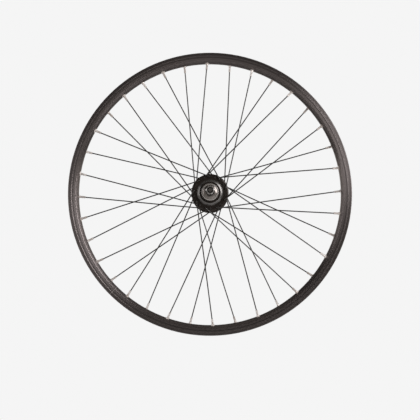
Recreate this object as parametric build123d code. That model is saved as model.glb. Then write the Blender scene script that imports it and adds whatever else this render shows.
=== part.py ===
from build123d import *

import os
from math import asin, cos, radians, sin, sqrt, tan

# A rear bicycle wheel for a 26 inch tyre: a double wall aluminium rim, 36 spokes laced
# three cross, and a hub with a threaded boss for a screw on freewheel, running on cup and
# cone bearings round a solid axle. Millimetres. The origin is the wheel's centre, the axle
# lies along Y with the drive side at -Y, and Z is up. Angles run from +X towards +Z. Pieces
# that sit beside the axle are placed by their distance outboard of the wheel's centre.

DRIVE = -1
LEFT = 1

# Rim: an extruded section, rolled to a hoop and welded
BEAD_SEAT_DIAMETER = 559.0
RIM_EDGE_HEIGHT = 6.0          # bead seat to the rim's edge
RIM_WIDTH = 28.0
RIM_DEPTH = 21.1               # edge to the crown of the spoke bed
RIM_SHOULDER_RISE = 5.8        # crown of the spoke bed to its corner with the side wall
RIM_SIDE_TAPER = 1.0           # how far the side wall leans in at that corner
RIM_GROOVE_DROP = 8.2          # edge to the wear groove in the side wall
RIM_GROOVE_WIDTH = 1.6
RIM_GROOVE_DEPTH = 0.45
HOOK_WIDTH = 2.4
HOOK_HEIGHT = 1.1
TYRE_WALL = 1.6                # wall that the tyre's bead presses on
BEAD_SHELF_WIDTH = 3.4
WELL_DEPTH = 4.0
WELL_SLOPE_WIDTH = 2.6
SIDE_WALL = 1.7
FLOOR_WALL = 1.5
FLOOR_LEAN = 0.5
BED_WALL = 1.8
RIM_EDGE_ROUND = 0.7
RIM_SHOULDER_ROUND = 2.2
SEAM_ANGLE = 225.4
SEAM_WIDTH = 0.5
SEAM_DEPTH = 0.2
VALVE_HOLE_DIAMETER = 8.5

# Lacing
SPOKES = 36
CROSSES = 3
FIRST_NIPPLE_ANGLE = 1.25
HOLE_STAGGER = 3.0             # rim holes lie this far towards their own flange

# Spokes, nipples and eyelets
SPOKE_DIAMETER = 2.3
ELBOW_RADIUS = 2.6             # on the spoke's centre line
CROSSING_BEND_RADIUS = 160.0
CROSSING_CLEARANCE = 0.3
SPOKE_STANDOFF = 1.55          # flange's face to the wire, where it leaves its elbow
SPOKE_HEAD_DIAMETER = 4.4
SPOKE_HEAD_THICKNESS = 1.3
SPOKE_HEAD_CHAMFER = 0.45
NIPPLE_LENGTH = 16.0
NIPPLE_DIAMETER = 4.6
NIPPLE_HEAD_DIAMETER = 6.4
NIPPLE_HEAD_HEIGHT = 2.0
NIPPLE_FLATS = 3.9
NIPPLE_FLATS_LENGTH = 9.0
NIPPLE_SLOT_WIDTH = 1.1
NIPPLE_SLOT_DEPTH = 1.0
NIPPLE_EDGE = 0.35
NIPPLE_SEAT_DEPTH = 0.35       # spot face below the spoke bed's inner face, at the hole
NIPPLE_HOLE_CLEARANCE = 0.2
NIPPLE_HEAD_ROOM = 1.0
EYELET_WALL = 0.6              # tube round the nipple, tight in the rim's hole
EYELET_FLANGE_DIAMETER = 9.0
EYELET_SHEET = 0.5
ACCESS_HOLE_DIAMETER = 9.0
THREAD_CLEARANCE = 0.05

# Hub shell
FLANGE_DIAMETER = 74.4
FLANGE_HOLE_MARGIN = 5.7        # flange's edge to the middle of its spoke holes
FLANGE_THICKNESS = 3.0
FLANGE_EDGE_THICKNESS = 1.4
FLANGE_BEVEL_WIDTH = 2.6
FLANGE_HOLE_CLEARANCE = 0.25
DRIVE_FLANGE_OFFSET = 26.0
LEFT_FLANGE_OFFSET = 32.0
BARREL_DIAMETER = 34.0
WAIST_DIAMETER = 28.0
WAIST_LENGTH = 11.0
FLANGE_ROOT = 5.6               # cone between each flange's inner face and the barrel
SHELL_WALL = 3.2
RING_OUTER_DIAMETER = 51.6     # turned ring between the drive flange and its shoulder
SHOULDER_DIAMETER = 42.8
RING_HEIGHT = 3.2
RING_CROWN = 0.45
FREEWHEEL_THREAD_DIAMETER = 34.8
FREEWHEEL_THREAD_LENGTH = 9.0
THREAD_RELIEF_WIDTH = 1.2
THREAD_RELIEF_DEPTH = 0.9
BOSS_CHAMFER = 0.8
LEFT_COLLAR_LENGTH = 9.6
LEFT_COLLAR_DIAMETER = 35.6
LEFT_RING_DIAMETER = 46.0

# Bearings, one at each end of the hub
BALL_DIAMETER = 6.35
BALLS = 9
BALL_CIRCLE_DIAMETER = 19.7
RACE_CLEARANCE = 0.05
CUP_SEAT_DIAMETER = 28.6
CUP_LENGTH = 8.6
CUP_BASE = 1.0
CUP_MOUTH_DIAMETER = 18.0
CAP_SHEET = 0.8
CAP_DEPTH = 5.0
CAP_SINK = 0.5
CAP_RISE = 1.8                  # its dome, from the edge to the hole round the cone
CAP_HOLE_CLEARANCE = 0.4
CONE_COLLAR_DIAMETER = 15.0
CONE_NOSE_LENGTH = 2.6
CONE_PROTRUSION = 4.6
CONE_FLATS = 13.0
CONE_FLATS_LENGTH = 3.0
CONE_HEEL_STEP = 1.0
RACE_MARGIN_ANGLE = 5.0

# Axle and what is threaded on it
AXLE_DIAMETER = 10.0
OVER_LOCKNUTS = 135.0
AXLE_OVERHANG = 19.5            # past each locknut
AXLE_CHAMFER = 1.6
LOCK_WASHER_THICKNESS = 1.2
LOCK_WASHER_DIAMETER = 15.6
SPACER_DIAMETER = 14.0
LOCKNUT_FLATS = 15.0
LOCKNUT_THICKNESS = 5.6
AXLE_NUT_FLATS = 15.0
AXLE_NUT_HEIGHT = 9.6
AXLE_NUT_INSET = 0.6           # axle's tip stands this far out of its nut
AXLE_WASHER_DIAMETER = 17.0
AXLE_WASHER_THICKNESS = 2.0
WASHER_HOLE_CLEARANCE = 0.2
NUT_CHAMFER_ANGLE = 30.0
NUT_COUNTERSINK = 0.65

# Worked out from the above
bead_r = BEAD_SEAT_DIAMETER / 2
rim_edge_r = bead_r + RIM_EDGE_HEIGHT
crown_r = rim_edge_r - RIM_DEPTH
well_r = bead_r - WELL_DEPTH
bed_inner_r = crown_r + BED_WALL
shoulder_r = crown_r + RIM_SHOULDER_RISE
half_width = RIM_WIDTH / 2
bed_half_width = half_width - RIM_SIDE_TAPER - SIDE_WALL
bed_rise = shoulder_r + FLOOR_WALL / 2 - bed_inner_r
bed_bend_r = (bed_half_width ** 2 + bed_rise ** 2) / (2 * bed_rise)
bed_rise_at_hole = bed_bend_r - sqrt(bed_bend_r ** 2 - HOLE_STAGGER ** 2)
nipple_seat_r = bed_inner_r + bed_rise_at_hole - NIPPLE_SEAT_DEPTH
nipple_hole_r = NIPPLE_DIAMETER / 2 + NIPPLE_HOLE_CLEARANCE
eyelet_r = nipple_hole_r + EYELET_WALL
nipple_pitch = 360.0 / SPOKES
hole_pitch = 2 * nipple_pitch
lacing_turn = CROSSES * hole_pitch
hole_circle_r = FLANGE_DIAMETER / 2 - FLANGE_HOLE_MARGIN
spoke_r = SPOKE_DIAMETER / 2
valve_angle = FIRST_NIPPLE_ANGLE + 4.5 * nipple_pitch
half_flange = FLANGE_THICKNESS / 2
drive_shoulder = DRIVE_FLANGE_OFFSET + half_flange + RING_HEIGHT
hub_end = {
    DRIVE: drive_shoulder + FREEWHEEL_THREAD_LENGTH,
    LEFT: LEFT_FLANGE_OFFSET + half_flange + LEFT_COLLAR_LENGTH,
}
flange_offset = {DRIVE: DRIVE_FLANGE_OFFSET, LEFT: LEFT_FLANGE_OFFSET}
race_r = BALL_DIAMETER / 2 + RACE_CLEARANCE
ball_circle_r = BALL_CIRCLE_DIAMETER / 2
cup_seat_r = CUP_SEAT_DIAMETER / 2
axle_bore_r = AXLE_DIAMETER / 2 + THREAD_CLEARANCE
axle_tip = OVER_LOCKNUTS / 2 + AXLE_OVERHANG


def turned(points):
    """Solid of revolution about the axle from (radius, y) points."""
    return revolve(make_face(Polyline(*points, close=True)), Axis.Y)


def side_turned(points, side):
    """As turned, from (radius, distance outboard) points on one side of the wheel."""
    return turned([(r, side * out) for r, out in points])


def at_angle(shape, angle):
    """Turn a piece about the axle, from +X towards +Z."""
    return Rot(0, -angle, 0) * shape


def wheel_point(r, angle, y):
    a = radians(angle)
    return Vector(r * cos(a), y, r * sin(a))


def along_axle(shape, side, out):
    """Place a piece built on +Z so that it points outboard from a distance along the axle."""
    return Plane(origin=(0, side * out, 0), x_dir=(1, 0, 0), z_dir=(0, side, 0)) * shape


# Rim

def rim_half_outline():
    """Outside of the section on the left side, from the well's middle to the bed's corner."""
    wall_y = half_width - TYRE_WALL
    shelf_y = wall_y - BEAD_SHELF_WIDTH
    groove_r = rim_edge_r - RIM_GROOVE_DROP
    return [
        (well_r, shelf_y - WELL_SLOPE_WIDTH),
        (bead_r, shelf_y),
        (bead_r, wall_y),
        (rim_edge_r - 2 * HOOK_HEIGHT, wall_y),
        (rim_edge_r - HOOK_HEIGHT, half_width - HOOK_WIDTH),
        (rim_edge_r, half_width - HOOK_WIDTH),
        (rim_edge_r, half_width),
        (groove_r + RIM_GROOVE_WIDTH, half_width),
        (groove_r + RIM_GROOVE_WIDTH / 2, half_width - RIM_GROOVE_DEPTH),
        (groove_r, half_width),
        (shoulder_r, half_width - RIM_SIDE_TAPER),
    ]


def mirrored_outline(points):
    return [(r, -y) for r, y in reversed(points)]


def bed_arc(drop):
    """Underside of the spoke bed, or the same arc moved a distance towards the hub."""
    edge_y = half_width - RIM_SIDE_TAPER
    return ThreePointArc((shoulder_r - drop, edge_y), (crown_r - drop, 0), (shoulder_r - drop, -edge_y))


def rim_section():
    left = rim_half_outline()
    right = mirrored_outline(left)
    outline = make_face(Polyline(*right, *left) + bed_arc(0))
    tops = [v for v in outline.vertices() if v.X > rim_edge_r - HOOK_HEIGHT / 2]
    outline = fillet(tops, RIM_EDGE_ROUND)
    corners = [v for v in outline.vertices() if abs(v.X - shoulder_r) < RIM_GROOVE_DEPTH]
    outline = fillet(corners, RIM_SHOULDER_ROUND)
    return outline - rim_cavity()


def rim_cavity():
    """The closed box between the tyre well's floor and the spoke bed."""
    shelf_y = half_width - TYRE_WALL - BEAD_SHELF_WIDTH
    half = [
        (well_r - FLOOR_WALL, shelf_y - WELL_SLOPE_WIDTH + FLOOR_LEAN),
        (bead_r - FLOOR_WALL, shelf_y + FLOOR_LEAN),
        (bead_r - FLOOR_WALL, half_width - SIDE_WALL - RIM_GROOVE_DEPTH),
        (bed_inner_r + bed_rise, bed_half_width),
    ]
    right = mirrored_outline(half)
    bed = ThreePointArc(half[-1], (bed_inner_r, 0), right[0])
    return make_face(Polyline(*right, *half) + bed)


def rim_hole_cutter():
    """Eyelet hole, seat for the nipple's head and access hole, on +Z with the seat at the origin."""
    seat = NIPPLE_HEAD_DIAMETER / 2 + NIPPLE_HOLE_CLEARANCE
    access = ACCESS_HOLE_DIAMETER / 2
    seat_top = NIPPLE_HEAD_HEIGHT + NIPPLE_HEAD_ROOM
    below = 3 * BED_WALL
    profile = Polyline(
        (0, -below), (eyelet_r, -below), (eyelet_r, 0), (seat, 0), (seat, seat_top),
        (access, seat_top), (access, RIM_DEPTH), (0, RIM_DEPTH), close=True,
    )
    return revolve(Plane.XZ * make_face(profile), Axis.Z)


def valve_hole():
    reach = 2 * RIM_DEPTH
    drill = Cylinder(VALVE_HOLE_DIAMETER / 2, reach, align=(Align.CENTER, Align.CENTER, Align.MIN))
    start = Plane(origin=(crown_r - RIM_DEPTH / 2, 0, 0), x_dir=(0, 1, 0), z_dir=(1, 0, 0))
    return at_angle(start * drill, valve_angle)


def seam_marks():
    """Where the hoop's ends meet: a fine line across each side wall."""
    marks = []
    for side in (DRIVE, LEFT):
        cut = Box(RIM_DEPTH, 2 * SEAM_DEPTH, SEAM_WIDTH)
        place = Pos(rim_edge_r - RIM_DEPTH / 2, side * half_width, 0)
        marks.append(at_angle(place * cut, SEAM_ANGLE))
    return marks


def make_rim(lacing):
    hoop = revolve(rim_section(), Axis.Y)
    hole = rim_hole_cutter()
    cutters = [at_angle(spoke["seat_plane"] * hole, spoke["angle"]) for spoke in lacing]
    return hoop - (cutters + [valve_hole()] + seam_marks())


# Lacing

def crossing_share(turn):
    """How far along a spoke, from hub to rim, it meets the one that crosses it last."""
    half_step = radians(nipple_pitch)
    hub = hole_circle_r * sin(radians(turn) - half_step)
    rim = nipple_seat_r * sin(half_step)
    return hub / (hub + rim)


def spoke_route(side, lean, elbow_out):
    """Corners of one spoke whose nipple is at angle 0: head, elbow, crossing, rim seat.

    lean is 1 where the hub hole lies behind the nipple, -1 where it lies ahead.
    """
    face = 1 if elbow_out else -1
    offset = flange_offset[side]
    hub_angle = -lean * lacing_turn
    head_end = offset - face * (half_flange + SPOKE_HEAD_THICKNESS)
    elbow = offset + face * (half_flange + SPOKE_STANDOFF + spoke_r)
    share = crossing_share(lacing_turn)
    gap = (SPOKE_DIAMETER + CROSSING_CLEARANCE) / 2
    middle = offset + share * (HOLE_STAGGER - offset)
    hub_point = wheel_point(hole_circle_r, hub_angle, 0)
    seat_point = wheel_point(nipple_seat_r, 0, 0)
    cross = hub_point + (seat_point - hub_point) * share
    return [
        wheel_point(hole_circle_r, hub_angle, side * head_end),
        wheel_point(hole_circle_r, hub_angle, side * elbow),
        Vector(cross.X, side * (middle - face * gap), cross.Z),
        wheel_point(nipple_seat_r, 0, side * HOLE_STAGGER),
    ]


def make_spoke(side, lean, elbow_out):
    head, elbow, cross, seat = spoke_route(side, lean, elbow_out)
    pull = (seat - cross).normalized()
    tip = seat + pull * (NIPPLE_HEAD_HEIGHT - NIPPLE_SLOT_DEPTH - NIPPLE_EDGE)
    path = FilletPolyline(head, elbow, cross, tip, radius=[ELBOW_RADIUS, CROSSING_BEND_RADIUS])
    wire = sweep(Plane(origin=head, z_dir=elbow - head) * Circle(spoke_r), path=path)
    button = Cylinder(
        SPOKE_HEAD_DIAMETER / 2, SPOKE_HEAD_THICKNESS,
        align=(Align.CENTER, Align.CENTER, Align.MIN),
    )
    button = chamfer(button.edges().sort_by(Axis.Z)[0], SPOKE_HEAD_CHAMFER)
    return wire + Plane(origin=head, z_dir=elbow - head) * button


def seat_plane(route):
    """Plane at a nipple's seat, its normal along the spoke away from the hub."""
    cross, seat = route[2], route[3]
    return Plane(origin=seat, x_dir=(0, 1, 0), z_dir=seat - cross)


def spoke_lacing():
    """One entry per spoke, in order round the rim."""
    kinds = [
        {"side": LEFT, "lean": 1, "elbow_out": True},
        {"side": DRIVE, "lean": -1, "elbow_out": False},
        {"side": LEFT, "lean": -1, "elbow_out": False},
        {"side": DRIVE, "lean": 1, "elbow_out": True},
    ]
    for kind in kinds:
        route = spoke_route(**kind)
        kind.update(spoke=make_spoke(**kind), seat_plane=seat_plane(route))
    lacing = []
    for index in range(SPOKES):
        entry = dict(kinds[index % len(kinds)])
        entry["angle"] = FIRST_NIPPLE_ANGLE + index * nipple_pitch
        lacing.append(entry)
    return lacing


def make_nipple():
    """On +Z, with the underside of its head at the origin."""
    shank = NIPPLE_LENGTH - NIPPLE_HEAD_HEIGHT
    body_r = NIPPLE_DIAMETER / 2
    head_r = NIPPLE_HEAD_DIAMETER / 2
    profile = Polyline(
        (0, -shank), (body_r - NIPPLE_EDGE, -shank), (body_r, NIPPLE_EDGE - shank), (body_r, 0),
        (head_r, 0), (head_r, NIPPLE_HEAD_HEIGHT / 2), (body_r, NIPPLE_HEAD_HEIGHT),
        (0, NIPPLE_HEAD_HEIGHT), close=True,
    )
    nipple = revolve(Plane.XZ * make_face(profile), Axis.Z)
    low = (Align.CENTER, Align.CENTER, Align.MIN)
    sleeve = Pos(0, 0, -shank) * Box(NIPPLE_DIAMETER * 2, NIPPLE_DIAMETER * 2, NIPPLE_FLATS_LENGTH, align=low)
    square = Pos(0, 0, -shank) * Box(NIPPLE_FLATS, NIPPLE_FLATS, NIPPLE_FLATS_LENGTH, align=low)
    nipple -= sleeve - square
    nipple -= Cylinder(spoke_r + THREAD_CLEARANCE, 3 * NIPPLE_LENGTH)
    slot = Box(NIPPLE_HEAD_DIAMETER * 2, NIPPLE_SLOT_WIDTH, NIPPLE_SLOT_DEPTH, align=low)
    return nipple - Pos(0, 0, NIPPLE_HEAD_HEIGHT - NIPPLE_SLOT_DEPTH) * slot


def make_nipples(lacing, side):
    nipple = make_nipple()
    places = [spoke for spoke in lacing if spoke["side"] == side]
    return Compound([at_angle(spoke["seat_plane"] * nipple, spoke["angle"]) for spoke in places])


def make_eyelet(place):
    """Tube from the nipple's seat through the spoke bed, with a flange pressed to the bed's underside."""
    edge_y = half_width - RIM_SIDE_TAPER
    sheet = bed_arc(0) + bed_arc(EYELET_SHEET)
    sheet += [Line((shoulder_r, y), (shoulder_r - EYELET_SHEET, y)) for y in (edge_y, -edge_y)]
    below_seat = Polyline((shoulder_r - EYELET_SHEET, -edge_y), (rim_edge_r, -edge_y), (rim_edge_r, edge_y),
                          (shoulder_r - EYELET_SHEET, edge_y))
    high = (Align.CENTER, Align.CENTER, Align.MAX)
    reach = 3 * BED_WALL
    disc = place * Cylinder(EYELET_FLANGE_DIAMETER / 2, reach, align=high)
    tube = place * Cylinder(eyelet_r, reach, align=high)
    flange = revolve(make_face(sheet), Axis.Y) & disc
    sleeve = revolve(make_face(bed_arc(EYELET_SHEET) + below_seat), Axis.Y) & tube
    return (flange + sleeve) - place * Cylinder(nipple_hole_r, 2 * reach)


def make_eyelets(lacing, side):
    eyelets = {}
    for spoke in lacing:
        if spoke["side"] == side and spoke["lean"] not in eyelets:
            eyelets[spoke["lean"]] = make_eyelet(spoke["seat_plane"])
    return Compound([
        at_angle(eyelets[spoke["lean"]], spoke["angle"]) for spoke in lacing if spoke["side"] == side
    ])


# Hub

def flange_outline(side):
    """Flange from its outer face to its inner face, as (radius, distance outboard)."""
    middle = flange_offset[side]
    edge_r = FLANGE_DIAMETER / 2
    bevel_r = edge_r - FLANGE_BEVEL_WIDTH
    half_edge = FLANGE_EDGE_THICKNESS / 2
    return [
        (bevel_r, middle + half_flange), (edge_r, middle + half_edge),
        (edge_r, middle - half_edge), (bevel_r, middle - half_flange),
    ]


def shell_outline():
    """Outside of the shell from the drive end to the left end, as (radius, y)."""
    thread_r = FREEWHEEL_THREAD_DIAMETER / 2
    relief_r = thread_r - THREAD_RELIEF_DEPTH
    ring_r = RING_OUTER_DIAMETER / 2
    barrel_r = BARREL_DIAMETER / 2
    collar_r = LEFT_COLLAR_DIAMETER / 2
    drive_face = DRIVE_FLANGE_OFFSET + half_flange
    left_face = LEFT_FLANGE_OFFSET + half_flange
    drive_root = DRIVE_FLANGE_OFFSET - half_flange
    left_root = LEFT_FLANGE_OFFSET - half_flange
    drive_points = [
        (thread_r - BOSS_CHAMFER, hub_end[DRIVE]),
        (thread_r, hub_end[DRIVE] - BOSS_CHAMFER),
        (thread_r, drive_shoulder + THREAD_RELIEF_WIDTH),
        (relief_r, drive_shoulder + THREAD_RELIEF_WIDTH),
        (relief_r, drive_shoulder),
        (SHOULDER_DIAMETER / 2, drive_shoulder),
        ((SHOULDER_DIAMETER / 2 + ring_r) / 2, (drive_shoulder + drive_face) / 2 + RING_CROWN),
        (ring_r, drive_face),
        *flange_outline(DRIVE),
        (barrel_r + FLANGE_ROOT, drive_root),
        (barrel_r, drive_root - FLANGE_ROOT),
    ]
    left_points = [
        (barrel_r, left_root - FLANGE_ROOT),
        (barrel_r + FLANGE_ROOT, left_root),
        *reversed(flange_outline(LEFT)),
        (LEFT_RING_DIAMETER / 2, left_face),
        (collar_r, left_face + RING_HEIGHT),
        (collar_r, hub_end[LEFT] - BOSS_CHAMFER),
        (collar_r - BOSS_CHAMFER, hub_end[LEFT]),
    ]
    middle_y = (LEFT_FLANGE_OFFSET - DRIVE_FLANGE_OFFSET) / 2
    waist = [(WAIST_DIAMETER / 2, middle_y + end * WAIST_LENGTH / 2) for end in (DRIVE, LEFT)]
    return [(r, -out) for r, out in drive_points] + waist + left_points


def shell_bore():
    """Cup seats at both ends and the clearance bore between them, as (radius, y)."""
    seat_depth = CUP_LENGTH + CAP_DEPTH + CAP_SINK
    bore_r = WAIST_DIAMETER / 2 - SHELL_WALL
    drive_step = -(hub_end[DRIVE] - seat_depth)
    left_step = hub_end[LEFT] - seat_depth
    return [
        (cup_seat_r, hub_end[LEFT]), (cup_seat_r, left_step), (bore_r, left_step),
        (bore_r, drive_step), (cup_seat_r, drive_step), (cup_seat_r, -hub_end[DRIVE]),
    ]


def make_hub_shell(lacing):
    shell = turned(shell_outline() + shell_bore())
    drill = Cylinder(spoke_r + FLANGE_HOLE_CLEARANCE, 2 * FLANGE_THICKNESS)
    holes = []
    for spoke in lacing:
        hole_angle = spoke["angle"] - spoke["lean"] * lacing_turn
        placed = along_axle(Pos(hole_circle_r, 0, 0) * drill, spoke["side"], flange_offset[spoke["side"]])
        holes.append(at_angle(placed, hole_angle))
    return shell - holes


# Bearings

def cup_inner_end(side):
    return hub_end[side] - CAP_SINK - CAP_DEPTH - CUP_LENGTH


def ball_line(side):
    """Distance outboard of the balls' centres."""
    return cup_inner_end(side) + CUP_BASE + race_r


def race_point(side, angle):
    """Point on the balls' race, its angle from radially outward towards outboard."""
    a = radians(angle)
    return (ball_circle_r + race_r * cos(a), side * (ball_line(side) + race_r * sin(a)))


def make_cup(side):
    """Pressed steel cup: the balls run on its arc, below and outside of them."""
    inner, outer = cup_inner_end(side), cup_inner_end(side) + CUP_LENGTH
    foot = race_point(side, -90 - RACE_MARGIN_ANGLE)
    lip = race_point(side, RACE_MARGIN_ANGLE)
    race = ThreePointArc(foot, race_point(side, -45), lip)
    rest = Polyline(
        lip, (lip[0], side * outer), (cup_seat_r, side * outer), (cup_seat_r, side * inner),
        (CUP_MOUTH_DIAMETER / 2, side * inner), (CUP_MOUTH_DIAMETER / 2, foot[1]), foot,
    )
    return revolve(make_face(race + rest), Axis.Y)


def make_cone(side):
    """Hardened cone: the balls run on its arc, inside and outboard of them."""
    line = ball_line(side)
    nose = side * (line - CONE_NOSE_LENGTH)
    end = hub_end[side] + CONE_PROTRUSION
    collar_r = CONE_COLLAR_DIAMETER / 2
    heel = race_point(side, 90 + RACE_MARGIN_ANGLE)
    toe = race_point(side, 180 + RACE_MARGIN_ANGLE)
    race = ThreePointArc(heel, race_point(side, 135), toe)
    rest = Polyline(
        toe, (toe[0], nose), (axle_bore_r, nose), (axle_bore_r, side * end), (collar_r, side * end),
        (collar_r, heel[1] + side * CONE_HEEL_STEP), (heel[0], heel[1] + side * CONE_HEEL_STEP / 2), heel,
    )
    cone = revolve(make_face(race + rest), Axis.Y)
    low = (Align.CENTER, Align.CENTER, Align.MIN)
    block = Box(4 * collar_r, 4 * collar_r, CONE_FLATS_LENGTH, align=low)
    kept = Box(CONE_FLATS, 4 * collar_r, CONE_FLATS_LENGTH, align=low)
    return cone - along_axle(block - kept, side, end - CONE_FLATS_LENGTH)


def dome_arc(edge, crest):
    """Arc on (radius, y) points from a dome's edge up to its crest, where it runs level."""
    width, rise = edge[0] - crest[0], crest[1] - edge[1]
    bend_r = (width ** 2 + rise ** 2) / (2 * rise)
    half_turn = asin(width / bend_r) / 2
    middle = (crest[0] + bend_r * sin(half_turn), crest[1] - bend_r * (1 - cos(half_turn)))
    return ThreePointArc(edge, middle, crest)


def make_dust_cap(side):
    """Pressed sheet cap in the mouth of the cup's seat, domed outward round the cone."""
    hole_r = CONE_COLLAR_DIAMETER / 2 + CAP_HOLE_CLEARANCE
    skirt_r = cup_seat_r - CAP_SHEET
    top = hub_end[side] - CAP_SINK
    edge, crest = (cup_seat_r, side * top), (hole_r, side * (top + CAP_RISE))
    inner_edge = (skirt_r, side * (top - CAP_SHEET))
    inner_crest = (hole_r, side * (top + CAP_RISE - CAP_SHEET))
    foot = side * (top - CAP_DEPTH)
    outline = dome_arc(edge, crest) + Line(crest, inner_crest) + dome_arc(inner_edge, inner_crest)
    outline += Polyline(inner_edge, (skirt_r, foot), (cup_seat_r, foot), edge)
    return revolve(make_face(outline), Axis.Y)


def make_balls(side):
    ball = Pos(ball_circle_r, side * ball_line(side), 0) * Sphere(BALL_DIAMETER / 2)
    return Compound([at_angle(ball, index * 360.0 / BALLS) for index in range(BALLS)])


# Axle set

def make_axle():
    r = AXLE_DIAMETER / 2
    return turned([
        (0, -axle_tip), (r - AXLE_CHAMFER, -axle_tip), (r, AXLE_CHAMFER - axle_tip),
        (r, axle_tip - AXLE_CHAMFER), (r - AXLE_CHAMFER, axle_tip), (0, axle_tip),
    ])


def ring(outer_d, hole_r, side, start, thickness):
    """Plain ring on the axle, from a distance outboard."""
    return side_turned([
        (hole_r, start), (outer_d / 2, start), (outer_d / 2, start + thickness),
        (hole_r, start + thickness),
    ], side)


def nut_bore(height):
    """Threaded hole with a countersink at each end, on +Z."""
    mouth_r = axle_bore_r + NUT_COUNTERSINK
    profile = Polyline(
        (0, 0), (mouth_r, 0), (axle_bore_r, NUT_COUNTERSINK), (axle_bore_r, height - NUT_COUNTERSINK),
        (mouth_r, height), (0, height), close=True,
    )
    return revolve(Plane.XZ * make_face(profile), Axis.Z)


def hex_nut(flats, height, side, start):
    """Hexagon nut on the axle, its corners turned away at both ends."""
    corner_r = flats / sqrt(3)
    face_r = flats / 2
    rise = (corner_r - face_r) * tan(radians(NUT_CHAMFER_ANGLE))
    outline = Polyline(
        (0, 0), (face_r, 0), (corner_r, rise), (corner_r, height - rise), (face_r, height),
        (0, height), close=True,
    )
    envelope = revolve(Plane.XZ * make_face(outline), Axis.Z)
    blank = extrude(RegularPolygon(corner_r, 6), height)
    return along_axle((blank & envelope) - nut_bore(height), side, start)


def locknut_start():
    return OVER_LOCKNUTS / 2 - LOCKNUT_THICKNESS


def make_lock_washers():
    return Compound([
        ring(LOCK_WASHER_DIAMETER, axle_bore_r, side, hub_end[side] + CONE_PROTRUSION, LOCK_WASHER_THICKNESS)
        for side in (DRIVE, LEFT)
    ])


def make_spacer(side):
    start = hub_end[side] + CONE_PROTRUSION + LOCK_WASHER_THICKNESS
    return ring(SPACER_DIAMETER, axle_bore_r, side, start, locknut_start() - start)


def make_locknuts():
    return Compound([
        hex_nut(LOCKNUT_FLATS, LOCKNUT_THICKNESS, side, locknut_start())
        for side in (DRIVE, LEFT)
    ])


def axle_nut_start():
    return axle_tip - AXLE_NUT_INSET - AXLE_NUT_HEIGHT


def make_axle_nuts():
    return Compound([
        hex_nut(AXLE_NUT_FLATS, AXLE_NUT_HEIGHT, side, axle_nut_start())
        for side in (DRIVE, LEFT)
    ])


def make_axle_washers():
    hole_r = AXLE_DIAMETER / 2 + WASHER_HOLE_CLEARANCE
    start = axle_nut_start() - AXLE_WASHER_THICKNESS
    return Compound([
        ring(AXLE_WASHER_DIAMETER, hole_r, side, start, AXLE_WASHER_THICKNESS)
        for side in (DRIVE, LEFT)
    ])


def build_wheel():
    lacing = spoke_lacing()
    pieces = {"rim": make_rim(lacing), "hub_shell": make_hub_shell(lacing)}
    for number, spoke in enumerate(lacing, start=1):
        pieces[f"spoke_{number:02d}"] = at_angle(spoke["spoke"], spoke["angle"])
    for side, name in ((DRIVE, "drive"), (LEFT, "left")):
        pieces[f"nipples_{name}_side"] = make_nipples(lacing, side)
        pieces[f"eyelets_{name}_side"] = make_eyelets(lacing, side)
        pieces[f"bearing_cup_{name}"] = make_cup(side)
        pieces[f"bearing_balls_{name}"] = make_balls(side)
        pieces[f"cone_{name}"] = make_cone(side)
        pieces[f"dust_cap_{name}"] = make_dust_cap(side)
        pieces[f"spacer_{name}"] = make_spacer(side)
    pieces["lock_washers"] = make_lock_washers()
    pieces["locknuts"] = make_locknuts()
    pieces["axle"] = make_axle()
    pieces["axle_washers"] = make_axle_washers()
    pieces["axle_nuts"] = make_axle_nuts()
    return pieces


os.makedirs("parts", exist_ok=True)
for node, piece in build_wheel().items():
    export_step(piece, f"parts/{node}.step")
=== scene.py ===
from math import cos, radians, sin, tau

import bpy
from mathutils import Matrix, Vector


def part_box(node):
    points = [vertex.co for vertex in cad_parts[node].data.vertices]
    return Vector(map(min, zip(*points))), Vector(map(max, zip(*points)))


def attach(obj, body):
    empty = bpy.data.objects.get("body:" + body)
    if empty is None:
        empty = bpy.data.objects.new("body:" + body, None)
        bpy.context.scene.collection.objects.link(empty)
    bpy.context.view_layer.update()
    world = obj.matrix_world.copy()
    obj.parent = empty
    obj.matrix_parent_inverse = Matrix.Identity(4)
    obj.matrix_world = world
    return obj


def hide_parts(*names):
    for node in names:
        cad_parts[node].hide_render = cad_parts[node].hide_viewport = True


# Studio picture of a bare rear bicycle wheel. Metres, in the CAD frame: the wheel's centre is
# the origin, the axle lies along Y with the drive side at -Y, and Z is up.

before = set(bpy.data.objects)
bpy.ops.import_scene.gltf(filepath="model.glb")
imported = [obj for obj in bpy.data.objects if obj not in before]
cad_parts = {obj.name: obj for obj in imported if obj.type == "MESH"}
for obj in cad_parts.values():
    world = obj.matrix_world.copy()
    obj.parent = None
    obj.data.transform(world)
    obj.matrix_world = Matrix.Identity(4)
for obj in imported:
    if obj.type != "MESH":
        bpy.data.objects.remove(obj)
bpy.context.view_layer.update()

MM = 0.001

# Camera, from the spokes' lines and the rim's outlines in the photograph
PHOTO_SIZE = 420                    # pixels across
FOCAL_PIXELS = 1202.5
CAMERA_DISTANCE = 2.43
CAMERA_AZIMUTH = radians(-0.15)
CAMERA_ELEVATION = radians(-4.9)
CENTRE_ABOVE_MIDDLE = 16.4          # pixels from the picture's middle up to the wheel's centre
SENSOR_WIDTH = 36.0                 # millimetres, as Blender has it

# Brightness of the studio that lights the wheel and mirrors in it
STUDIO_FRONT = 0.50
STUDIO_CEILING = 0.02               # above the front
STUDIO_GROUND = 0.62                # below the front
STUDIO_OVERHEAD = 0.28              # what straight overhead has on top of the ceiling
STUDIO_BEHIND = 0.85                # behind the wheel, nearly as pale as the backdrop
HIGH_BEHIND_SHARE = 0.15            # how much of that is left higher up
NADIR_SHARE = 0.5                   # how much of the ground is left straight below
STUDIO_TINT = (1.04, 1.0, 0.93, 1.0)
WHITE = (1.0, 1.0, 1.0, 1.0)

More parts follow.
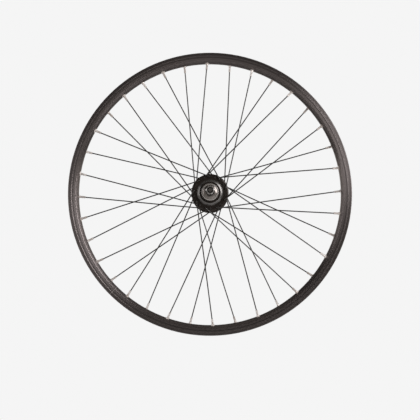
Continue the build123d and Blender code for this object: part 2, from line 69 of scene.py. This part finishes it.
# Where the studio changes, as a direction's Z from -1 straight down to 1 straight up
CEILING_EDGE = (-0.06, 0.14)
GROUND_EDGE = (-0.5, -0.1)
OVERHEAD_EDGE = (0.6, 0.95)
NADIR_EDGE = (-0.95, -0.7)
HIGH_BEHIND_EDGE = (0.1, 0.5)
BEHIND_EDGE = (0.0, 0.5)            # the same along Y, away from the camera

# Soft boxes: place, width, height and watts
RIGHT_BOX = ((1.45, -1.30, 0.75), 1.1, 1.4, 36)
LEFT_BOX = ((-1.80, -1.00, 0.35), 0.9, 1.4, 9)

# Backdrop and floor
BACKDROP = 0.913
FLOOR_HEIGHT = -0.64
FLOOR_RADIUS = 6.0
FLOOR_SIDES = 96
FLOOR_SHADOW_RADIUS = (0.3, 1.1)    # the floor shows some of its shading inside, and fades to the backdrop
FLOOR_GLOW = 0.8                    # the backdrop's share in the floor inside that radius

# Rim
SEAM_ANGLE = radians(225.4)
SEAM_HALF_WIDTH = (0.25 * MM, 0.6 * MM)
RIM_BAND_WIDTH = 5.0 * MM           # between lighter and darker bands of the brushed walls

# Turned and threaded parts of the hub
BOSS_THREAD_PITCH = 25.4 * MM / 24
BOSS_THREAD_LENGTH = 7.8 * MM       # from the hub's drive end
BOSS_THREAD_RADII = (17.3 * MM, 17.6 * MM)      # the boss's threaded wall, at 17.4 mm, lies between
BOSS_THREAD_RELIEF = 60.0           # height of the thread's ridges against the lathe's lines
BOSS_FACE_RADIUS = 16.9 * MM        # the boss's end face inside its chamfer; the chamfer and thread outside it are painted dark, as painted shade
RING_FOOT = 12.3 * MM               # drive end to the foot of the turned ring
RING_RADII = (21.35 * MM, 25.9 * MM)
# The nut's face is painted dark inside this radius, as painted shade in its bore's mouth.
NUT_MOUTH_RADIUS = 5.75 * MM
NUT_MOUTH_EDGE = 0.15 * MM

# Axle thread
AXLE_THREAD_PITCH = 1.0 * MM
AXLE_THREAD_DEPTH = 0.6 * AXLE_THREAD_PITCH
AXLE_THREAD_START = 46.0 * MM       # from the wheel's middle, on both sides, out to the tips
AXLE_CHAMFER = 1.6 * MM
AXLE_SIDES = 32
THREAD_PROFILE = (0.0, 0.35, 0.8, 1.0, 1.0, 0.8, 0.35, 0.0)     # root to crest and back, along one turn


# Shader building blocks

class Nodes:
    """A node tree with short calls for the nodes used here."""

    def __init__(self, tree):
        self.tree = tree

    def add(self, kind, inputs=(), **settings):
        node = self.tree.nodes.new(kind)
        for key, value in settings.items():
            setattr(node, key, value)
        for socket, value in dict(inputs).items():
            self.put(node.inputs[socket], value)
        return node

    def put(self, socket, value):
        if isinstance(value, bpy.types.NodeSocket):
            self.tree.links.new(value, socket)
        else:
            socket.default_value = value

    def math(self, operation, *values):
        node = self.add("ShaderNodeMath", operation=operation)
        for socket, value in zip(node.inputs, values):
            self.put(socket, value)
        return node.outputs[0]

    def vector(self, operation, *values):
        node = self.add("ShaderNodeVectorMath", operation=operation)
        for socket, value in zip(node.inputs, values):
            self.put(socket, value)
        return node.outputs["Value" if operation in ("LENGTH", "DOT_PRODUCT") else "Vector"]

    def combine(self, x, y, z):
        return self.add("ShaderNodeCombineXYZ", {"X": x, "Y": y, "Z": z}).outputs[0]

    def separate(self, vector):
        return self.add("ShaderNodeSeparateXYZ", {0: vector}).outputs

    def spread(self, value, low, high, out_low=0.0, out_high=1.0):
        """Maps low..high to out_low..out_high, smoothly and clamped."""
        inputs = {"Value": value, "From Min": low, "From Max": high, "To Min": out_low, "To Max": out_high}
        return self.add("ShaderNodeMapRange", inputs, interpolation_type="SMOOTHSTEP").outputs[0]

    def mix(self, share, first, second):
        node = self.add("ShaderNodeMix", data_type="RGBA")
        self.put(node.inputs["Factor"], share)
        self.put(node.inputs["A"], first)
        self.put(node.inputs["B"], second)
        return node.outputs["Result"]

    def seen(self):
        """1 for rays that come from the camera, also through glass, and 0 for all others."""
        path = self.add("ShaderNodeLightPath").outputs
        return self.math("MAXIMUM", path["Is Camera Ray"], path["Is Transmission Ray"])


class Shader(Nodes):
    """A material with one principled surface. Settings are its sockets' constants."""

    def __init__(self, name, **settings):
        self.material = bpy.data.materials.new(name)
        self.material.use_nodes = True
        super().__init__(self.material.node_tree)
        self.surface = self.tree.nodes["Principled BSDF"]
        for socket, value in settings.items():
            self.set(socket.replace("_", " "), value)

    def set(self, socket, value):
        self.put(self.surface.inputs[socket], value)

    def place(self):
        return self.add("ShaderNodeTexCoord").outputs["Object"]

    def axle_coordinates(self):
        """Radius from the axle, distance along it and angle about it."""
        place = self.place()
        parts = self.separate(place)
        radius = self.vector("LENGTH", self.vector("MULTIPLY", place, (1, 0, 1)))
        return radius, parts["Y"], self.math("ARCTAN2", parts["Z"], parts["X"])

    def noise(self, vector, scale, detail=2.0, roughness=0.5):
        inputs = {"Vector": vector, "Scale": scale, "Detail": detail, "Roughness": roughness}
        return self.add("ShaderNodeTexNoise", inputs).outputs["Fac"]

    def turned_lines(self, spacing, run):
        """Noise drawn out round the axle, as a lathe, a die or a brush leaves it. run is in radians."""
        radius, along, angle = self.axle_coordinates()
        stretched = self.combine(radius, along, self.math("MULTIPLY", angle, spacing / run))
        return self.noise(stretched, 1 / spacing, detail=3.0, roughness=0.6)

    def roughen(self, texture, smooth, rough):
        """Roughness that follows a texture's middle range."""
        self.set("Roughness", self.spread(texture, 0.3, 0.7, smooth, rough))

    def bump(self, height, distance, strength):
        inputs = {"Height": height, "Distance": distance, "Strength": strength}
        self.set("Normal", self.add("ShaderNodeBump", inputs).outputs[0])


def grey(level, warm=0.0):
    """Linear colour of a nearly neutral grey; warm adds a share of red and takes half of it from blue."""
    return (level * (1 + warm), level, level * (1 - warm / 2), 1.0)


def plum(level):
    """Linear colour of the rim's brownish grey."""
    return (level * 1.16, level, level * 0.98, 1.0)


def darker(colour, share):
    return tuple(c * share for c in colour[:3]) + (1.0,)


# Materials

def turned_surface(name, **settings):
    """Shader whose highlights spread across the marks that run round the axle."""
    s = Shader(name, Anisotropic_Rotation=0.25, **settings)
    s.set("Tangent", s.add("ShaderNodeTangent", direction_type="RADIAL", axis="Y").outputs[0])
    return s


def rim_anodised():
    """Brushed black rim in bands, with its bare welded seam."""
    s = turned_surface("rim_anodised", Anisotropic=0.9, IOR=3.0)
    lines = s.turned_lines(0.35 * MM, 0.5)
    cloud = s.noise(s.place(), 22.0, detail=4.0)
    radius, along = s.axle_coordinates()[:2]
    bands = s.noise(s.combine(radius, along, 0.0), 1 / RIM_BAND_WIDTH, detail=1.0)
    across = s.vector("DOT_PRODUCT", s.place(), (-sin(SEAM_ANGLE), 0, cos(SEAM_ANGLE)))
    ahead = s.vector("DOT_PRODUCT", s.place(), (cos(SEAM_ANGLE), 0, sin(SEAM_ANGLE)))
    near_seam = s.spread(s.math("ABSOLUTE", across), *SEAM_HALF_WIDTH, 1.0, 0.0)
    on_seam = s.math("MULTIPLY", near_seam, s.math("GREATER_THAN", ahead, 0.0))
    black = s.mix(cloud, plum(0.006), plum(0.010))
    s.set("Base Color", s.mix(on_seam, black, grey(0.30, 0.06)))
    s.set("Metallic", s.math("MULTIPLY", on_seam, 0.5))
    s.set("Specular Tint", s.mix(s.spread(bands, 0.35, 0.65), plum(0.38), plum(0.72)))
    s.roughen(lines, 0.31, 0.37)
    s.bump(lines, 0.012 * MM, 0.1)
    return s.material


def turned_metal(name, colour, roughness, painted_shade_inside=0.0):
    """Bare or plated metal off a lathe. Inside the radius given, its face is painted dark, as painted
    shade in the mouth of its bore.
    """
    s = turned_surface(name, Metallic=1.0, Anisotropic=0.5)
    lines = s.turned_lines(0.12 * MM, 0.9)
    cloud = s.noise(s.place(), 90.0, detail=4.0)
    metal = s.mix(s.spread(cloud, 0.35, 0.7), colour, darker(colour, 0.72))
    if painted_shade_inside:
        radius = s.axle_coordinates()[0]
        # Painted shade: near-black inside the radius, for the shaded mouth of the nut's bore.
        outside = s.spread(radius, painted_shade_inside, painted_shade_inside + NUT_MOUTH_EDGE, 0.12, 1.0)
        metal = s.mix(outside, grey(0.02, 0.1), metal)
    s.set("Base Color", metal)
    s.roughen(lines, roughness, roughness + 0.08)
    s.bump(lines, 0.006 * MM, 0.3)
    return s.material


def hub_finish():
    """Black anodised shell whose turned ring and threaded boss are bare metal; the boss's chamfer and
    thread are painted dark, as painted shade.
    """
    s = turned_surface("hub_finish", Anisotropic=0.5, IOR=1.5, Specular_Tint=grey(0.7, 0.10))
    radius, along, angle = s.axle_coordinates()
    hub_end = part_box("hub_shell")[0].y
    at_ring = s.math("MULTIPLY", s.math("GREATER_THAN", radius, RING_RADII[0]),
                     s.math("LESS_THAN", radius, RING_RADII[1]))
    on_ring = s.math("MULTIPLY", s.math("LESS_THAN", along, hub_end + RING_FOOT), at_ring)
    on_boss = s.math("MULTIPLY", s.math("LESS_THAN", along, hub_end + BOSS_THREAD_LENGTH),
                     s.math("LESS_THAN", radius, BOSS_THREAD_RADII[1]))
    bare = s.math("MAXIMUM", on_ring, on_boss)
    # Outside the end face, the boss's chamfer and threaded wall are painted dark: painted shade on the
    # same bare metal.
    on_face = s.math("LESS_THAN", radius, BOSS_FACE_RADIUS)
    boss = s.mix(on_face, grey(0.08, 0.15), grey(0.70, 0.06))
    metal = s.mix(on_boss, grey(0.17, 0.05), boss)
    cloud = s.noise(s.place(), 60.0, detail=4.0)
    black = s.mix(cloud, grey(0.006, 0.3), grey(0.012, 0.35))
    s.set("Base Color", s.mix(bare, black, metal))
    s.set("Metallic", bare)

    lines = s.turned_lines(0.15 * MM, 0.8)
    duller = s.math("MULTIPLY", bare, 0.04)
    s.set("Roughness", s.math("ADD", s.spread(lines, 0.3, 0.7, 0.26, 0.38), duller))
    turns = s.math("ADD", s.math("DIVIDE", along, BOSS_THREAD_PITCH), s.math("DIVIDE", angle, tau))
    on_thread = s.math("MULTIPLY", on_boss, s.math("GREATER_THAN", radius, BOSS_THREAD_RADII[0]))
    ridges = s.math("MULTIPLY", s.math("PINGPONG", turns, 0.5), on_thread)
    relief = s.math("ADD", s.math("MULTIPLY", ridges, BOSS_THREAD_RELIEF), lines)
    s.bump(relief, 0.008 * MM, 0.8)
    return s.material


def spoke_black():
    """Black coated wire."""
    s = Shader("spoke_black", IOR=1.6)
    grain = s.noise(s.place(), 900.0)
    cloud = s.noise(s.place(), 14.0, detail=3.0)
    s.set("Base Color", s.mix(cloud, grey(0.009, 0.15), grey(0.018, 0.25)))
    s.roughen(grain, 0.20, 0.32)
    s.bump(grain, 0.01 * MM, 0.35)
    return s.material


def nickel(name, level):
    """Bright plate that has dulled more on some pieces than on others."""
    s = Shader(name, Metallic=0.25)
    cloud = s.noise(s.place(), 260.0, detail=4.0)
    tarnish = s.noise(s.place(), 19.0, detail=1.0)
    plate = s.mix(s.spread(tarnish, 0.35, 0.65), grey(level, 0.07), grey(level * 0.55, 0.14))
    s.set("Base Color", s.mix(s.spread(cloud, 0.45, 0.75), plate, grey(level * 0.5, 0.16)))
    s.roughen(cloud, 0.24, 0.4)
    s.bump(s.noise(s.place(), 1500.0), 0.006 * MM, 0.4)
    return s.material


def axle_steel():
    """Threaded bar with a brighter cut face at its tips; the bar, with the chamfer round each tip, is
    painted dark as painted shade.
    """
    s = Shader("axle_steel", Metallic=1.0)
    along = s.axle_coordinates()[1]
    at_tip = s.math("GREATER_THAN", s.math("ABSOLUTE", along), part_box("axle")[1].y - 0.05 * MM)
    cloud = s.noise(s.place(), 300.0, detail=3.0)
    # Painted shade: the bar's near-black, seen on the chamfer round each tip.
    bar = s.mix(cloud, grey(0.02, 0.1), grey(0.05, 0.1))
    face = s.mix(cloud, grey(0.14, 0.10), grey(0.22, 0.10))
    s.set("Base Color", s.mix(at_tip, bar, face))
    s.roughen(cloud, 0.3, 0.42)
    s.bump(cloud, 0.004 * MM, 0.4)
    return s.material


def plated_steel(name, colour, roughness, grain_scale=700.0):
    """Zinc or chrome plate with a faint grain and duller patches."""
    s = Shader(name, Metallic=1.0)
    grain = s.noise(s.place(), grain_scale, detail=3.0)
    cloud = s.noise(s.place(), 120.0, detail=4.0)
    s.set("Base Color", s.mix(s.spread(cloud, 0.35, 0.75), colour, darker(colour, 0.7)))
    s.roughen(cloud, roughness, roughness + 0.12)
    s.bump(grain, 0.008 * MM, 0.35)
    return s.material


def dress_nodes():
    """Gives every CAD node the finish whose name its own name starts with, the longest if several do."""
    finishes = {
        "rim": rim_anodised(),
        "hub_shell": hub_finish(),
        "spoke": spoke_black(),
        "nipples": nickel("nipple_nickel", 0.82),
        "eyelets": nickel("eyelet_nickel", 0.86),
        "dust_cap": turned_metal("cap_plate", grey(0.27, 0.12), 0.27),
        # The cone's dark grey is painted shade, for the shaded parts under the axle nut.
        "cone": turned_metal("cone_steel", grey(0.20, 0.05), 0.26),
        "bearing_cup": turned_metal("cup_steel", grey(0.45, 0.02), 0.2),
        "bearing_balls": plated_steel("ball_steel", grey(0.62), 0.05, grain_scale=2000.0),
        # The spacer, lock washers, locknuts and axle washers get dark greys as painted shade under the
        # axle nut, not a black finish.
        "spacer": turned_metal("spacer_painted_shade", grey(0.09, 0.05), 0.34),
        "lock_washers": plated_steel("lock_washer_painted_shade", grey(0.10, 0.05), 0.3),
        "locknuts": plated_steel("locknut_painted_shade", grey(0.12, 0.05), 0.28),
        "axle_washers": plated_steel("axle_washer_painted_shade", grey(0.16, 0.05), 0.3),
        "axle_nuts": turned_metal("nut_zinc", grey(0.60, 0.04), 0.22, painted_shade_inside=NUT_MOUTH_RADIUS),
        "axle": axle_steel(),
    }
    for name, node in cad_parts.items():
        kind = max((k for k in finishes if name.startswith(k)), key=len)
        node.data.materials.clear()
        node.data.materials.append(finishes[kind])


# Studio

def pointed(name, data, place, target):
    """Adds a camera or lamp that looks from place to target."""
    obj = bpy.data.objects.new(name, data)
    bpy.context.scene.collection.objects.link(obj)
    obj.location = place
    obj.rotation_euler = (Vector(target) - Vector(place)).to_track_quat("-Z", "Y").to_euler()
    return obj


def add_camera():
    camera = bpy.data.cameras.new("camera")
    camera.sensor_width = SENSOR_WIDTH
    camera.lens = SENSOR_WIDTH * FOCAL_PIXELS / PHOTO_SIZE
    level = CAMERA_DISTANCE * cos(CAMERA_ELEVATION)
    place = (
        level * sin(CAMERA_AZIMUTH),
        -level * cos(CAMERA_AZIMUTH),
        CAMERA_DISTANCE * sin(CAMERA_ELEVATION),
    )
    drop = CENTRE_ABOVE_MIDDLE * CAMERA_DISTANCE / FOCAL_PIXELS
    bpy.context.scene.camera = pointed("camera", camera, place, (0, 0, -drop))


def add_soft_box(name, place, width, height, watts):
    lamp = bpy.data.lights.new(name, "AREA")
    lamp.shape = "RECTANGLE"
    lamp.size = width
    lamp.size_y = height
    lamp.energy = watts
    pointed(name, lamp, place, (0, 0, 0)).visible_camera = False


def add_world():
    """A pale backdrop for the camera, and the studio for everything that the wheel lights and mirrors."""
    world = bpy.data.worlds.new("studio")
    bpy.context.scene.world = world
    world.use_nodes = True
    w = Nodes(world.node_tree)
    direction = w.separate(w.add("ShaderNodeTexCoord").outputs["Generated"])
    back, up = direction["Y"], direction["Z"]

    ceiling = w.spread(up, *CEILING_EDGE, STUDIO_FRONT, STUDIO_CEILING)
    ground = w.spread(up, *GROUND_EDGE, STUDIO_GROUND - STUDIO_FRONT, 0.0)
    overhead = w.spread(up, *OVERHEAD_EDGE, 0.0, STUDIO_OVERHEAD)
    around = w.math("ADD", w.math("ADD", ceiling, ground), overhead)
    front = w.math("MULTIPLY", w.spread(up, *NADIR_EDGE, NADIR_SHARE, 1.0), around)
    behind = w.math("MULTIPLY", w.spread(back, *BEHIND_EDGE, 0.0, STUDIO_BEHIND),
                    w.spread(up, *HIGH_BEHIND_EDGE, 1.0, HIGH_BEHIND_SHARE))

    seen = w.seen()
    strength = w.math("MAXIMUM", w.math("MULTIPLY", seen, BACKDROP), w.math("MAXIMUM", behind, front))
    background = w.tree.nodes["Background"]
    w.put(background.inputs["Color"], w.mix(seen, STUDIO_TINT, WHITE))
    w.put(background.inputs["Strength"], strength)


def add_floor():
    """Pale paper that shows a soft shadow near the wheel and turns into the backdrop farther out."""
    bpy.ops.mesh.primitive_circle_add(
        vertices=FLOOR_SIDES, radius=FLOOR_RADIUS, fill_type="NGON", location=(0, 0, FLOOR_HEIGHT))
    floor = bpy.context.object
    floor.name = "floor"
    s = Shader("floor_paper", Roughness=0.9, Base_Color=grey(0.86))
    radius = s.vector("LENGTH", s.vector("MULTIPLY", s.place(), (1, 1, 0)))
    shown = s.math("MULTIPLY", s.spread(radius, *FLOOR_SHADOW_RADIUS, FLOOR_GLOW, 1.0), s.seen())
    glow = s.add("ShaderNodeEmission", {"Color": grey(BACKDROP), "Strength": 1.0}).outputs[0]
    both = s.add("ShaderNodeMixShader", {0: shown, 1: s.surface.outputs[0], 2: glow}).outputs[0]
    s.put(s.tree.nodes["Material Output"].inputs["Surface"], both)
    floor.data.materials.append(s.material)


# Threaded axle

def thread_height(turns):
    """Share of the thread's depth after so many turns along it: 0 at the root and 1 at the crest."""
    count = len(THREAD_PROFILE)
    phase = turns % 1.0 * count
    first = int(phase) % count
    rise = THREAD_PROFILE[(first + 1) % count] - THREAD_PROFILE[first]
    return THREAD_PROFILE[first] + rise * (phase - int(phase))


def threaded_axle():
    """The axle with its metric thread cut from each tip to the cones."""
    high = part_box("axle")[1]
    tip, radius = high.y, high.x
    step = AXLE_THREAD_PITCH / len(THREAD_PROFILE)
    rows = round((tip - AXLE_THREAD_START) / step)
    places = [-tip + i * step for i in range(rows + 1)]
    places += [tip - i * step for i in range(rows, -1, -1)]

    points = []
    for y in places:
        for k in range(AXLE_SIDES):
            height = thread_height(y / AXLE_THREAD_PITCH - k / AXLE_SIDES)
            r = min(radius - AXLE_THREAD_DEPTH * (1 - height), radius - AXLE_CHAMFER + tip - abs(y))
            if abs(y) <= AXLE_THREAD_START + step / 2:
                r = radius - AXLE_THREAD_DEPTH / 2
            angle = tau * k / AXLE_SIDES
            points.append((r * cos(angle), y, r * sin(angle)))

    faces = []
    for row in range(len(places) - 1):
        for k in range(AXLE_SIDES):
            a = row * AXLE_SIDES + k
            b = row * AXLE_SIDES + (k + 1) % AXLE_SIDES
            faces.append((a, a + AXLE_SIDES, b + AXLE_SIDES, b))
    first_of_last_row = (len(places) - 1) * AXLE_SIDES
    faces.append(tuple(range(AXLE_SIDES)))
    faces.append(tuple(first_of_last_row + k for k in reversed(range(AXLE_SIDES))))

    mesh = bpy.data.meshes.new("threaded_axle")
    mesh.from_pydata(points, [], faces)
    mesh.validate()
    for face in mesh.polygons:
        face.use_smooth = len(face.vertices) == 4
    axle = bpy.data.objects.new("threaded_axle", mesh)
    bpy.context.scene.collection.objects.link(axle)
    axle.data.materials.append(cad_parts["axle"].data.materials[0])
    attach(axle, "axle_set")
    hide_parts("axle")


add_camera()
add_soft_box("box_right", *RIGHT_BOX)
add_soft_box("box_left", *LEFT_BOX)
add_world()
add_floor()
dress_nodes()
threaded_axle()

bpy.context.scene.view_settings.view_transform = "Standard"
